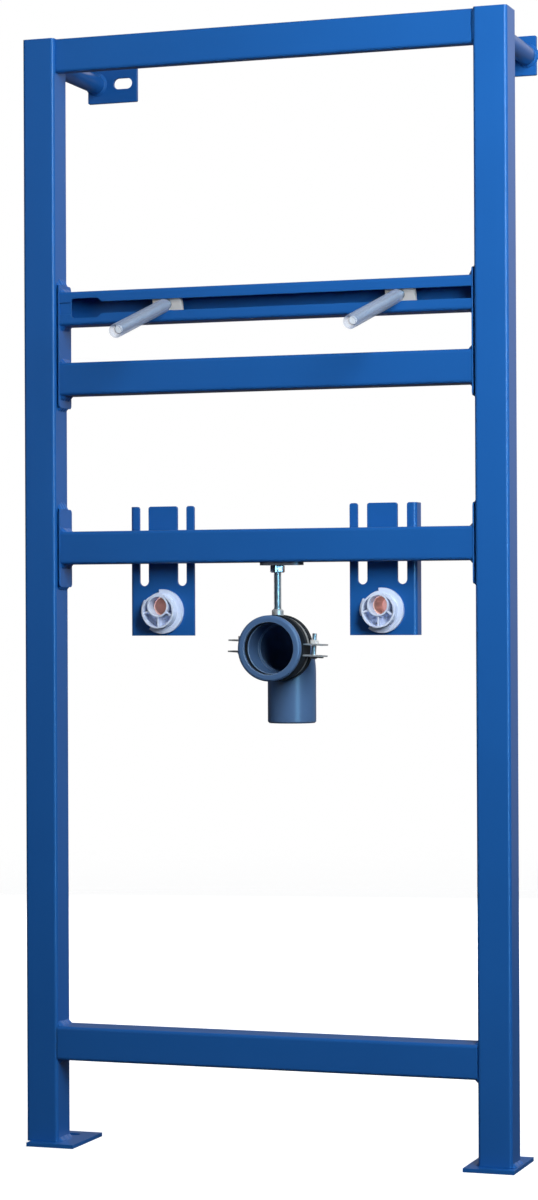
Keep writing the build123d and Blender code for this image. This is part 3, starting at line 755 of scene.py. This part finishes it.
for index, (x, color) in enumerate(studio["across"]):
    position = (x + 1) / 2
    stop = ramp[index] if index < 2 else ramp.new(position)  # a new ramp has two stops
    stop.position = position
    stop.color = (*color, 1)
shade = addNode(tree, "ShaderNodeMath", {"operation": "MULTIPLY"})
glow = addNode(tree, "ShaderNodeBackground")
sink = addNode(tree, "ShaderNodeOutputWorld")
pick.inputs[3].default_value = studio["seen"]
tree.links.new(where.outputs["Generated"], split.inputs["Vector"])
tree.links.new(split.outputs["Y"], toBack.inputs["Value"])
tree.links.new(ray.outputs["Is Camera Ray"], pick.inputs[0])
tree.links.new(split.outputs["Z"], rise.inputs["Value"])
tree.links.new(toBack.outputs["Result"], shade.inputs[0])
tree.links.new(rise.outputs["Result"], shade.inputs[1])
tree.links.new(split.outputs["X"], toUnit.inputs["Value"])
tree.links.new(toUnit.outputs["Result"], across.inputs["Fac"])
tree.links.new(shade.outputs[0], pick.inputs[2])
tree.links.new(pick.outputs[0], glow.inputs["Strength"])
tint = mixColor(tree, ray.outputs["Is Camera Ray"], across.outputs["Color"], (1, 1, 1, 1))
tree.links.new(tint, glow.inputs["Color"])
tree.links.new(glow.outputs["Background"], sink.inputs["Surface"])


def softLight(name, place, aim, width, height, power, color=(1, 1, 1), mirrored=True, lighting=True, only=()):
    data = bpy.data.lights.new(name, "AREA")
    data.shape = "RECTANGLE"
    data.size = width
    data.size_y = height
    data.energy = power
    data.color = color
    lamp = bpy.data.objects.new(name, data)
    lamp.location = place
    lamp.rotation_euler = (Vector(aim) - Vector(place)).to_track_quat("-Z", "Y").to_euler()
    lamp.visible_glossy = mirrored
    lamp.visible_diffuse = lighting
    if only:  # reaches these pieces and no others
        lamp.light_linking.receiver_collection = bpy.data.collections.new(name + "Pieces")
        for piece in only:
            lamp.light_linking.receiver_collection.objects.link(nodes[piece])
    bpy.context.scene.collection.objects.link(lamp)


lights = {
    "keyLight": {"place": (0.95, -1.1, 1.35), "aim": (0.0, 0.0, 1.0), "width": 0.5, "height": 1.1,
                 "power": 31, "color": (0.88, 0.95, 1.0), "mirrored": False},
    "keyGlint": {"place": (0.95, -1.1, 1.35), "aim": (0.0, 0.0, 1.0), "width": 0.5, "height": 1.1,
                 "power": 22, "color": (0.55, 0.80, 1.0), "lighting": False},
    "fillLight": {"place": (-1.6, -1.8, 1.2), "aim": (0.0, 0.0, 0.6), "width": 1.2, "height": 1.6,
                  "power": 6, "mirrored": False},
    "sideFill": {"place": (2.4, -0.5, 1.5), "aim": (0.0, 0.0, 0.8), "width": 0.8, "height": 1.4,
                 "power": 13, "color": (0.80, 0.93, 1.0), "mirrored": False},
    "edgeStrip": {"place": (1.3, -1.25, 0.95), "aim": (0.0, 0.0, 0.75), "width": 0.2, "height": 2.2,
                  "power": 24, "color": (0.24, 0.66, 1.0), "lighting": False},
    "boreLight": {"place": (0.75, -2.2, 0.6), "aim": (0.0, 0.0, 0.6), "width": 0.3, "height": 0.3,
                  "power": 85, "color": (0.80, 0.68, 1.0), "mirrored": False,
                  "only": ("left_brass_socket", "right_brass_socket")},
    "backFill": {"place": (-0.5, 2.6, 0.9), "aim": (0.0, 0.0, 0.6), "width": 1.4, "height": 1.4,
                 "power": 50, "mirrored": False},
}
for name, light in lights.items():
    softLight(name, **light)

view = {
    "place": (0.9932, -2.8798, 0.5462), "yaw": 19.173, "pitch": 0.351, "roll": -0.253,
    "lens": 88.84, "sensor": 36.0,
}
data = bpy.data.cameras.new("photoCamera")
data.sensor_fit = "VERTICAL"
data.sensor_height = view["sensor"]
data.lens = view["lens"]
camera = bpy.data.objects.new("photoCamera", data)
turn = Matrix.Rotation(math.radians(view["yaw"]), 4, "Z")
turn = turn @ Matrix.Rotation(math.radians(90 + view["pitch"]), 4, "X")
turn = turn @ Matrix.Rotation(math.radians(view["roll"]), 4, "Z")
camera.matrix_world = Matrix.Translation(view["place"]) @ turn
bpy.context.scene.collection.objects.link(camera)
bpy.context.scene.camera = camera
bpy.context.scene.view_settings.view_transform = "Standard"
print("stage, light and camera set")
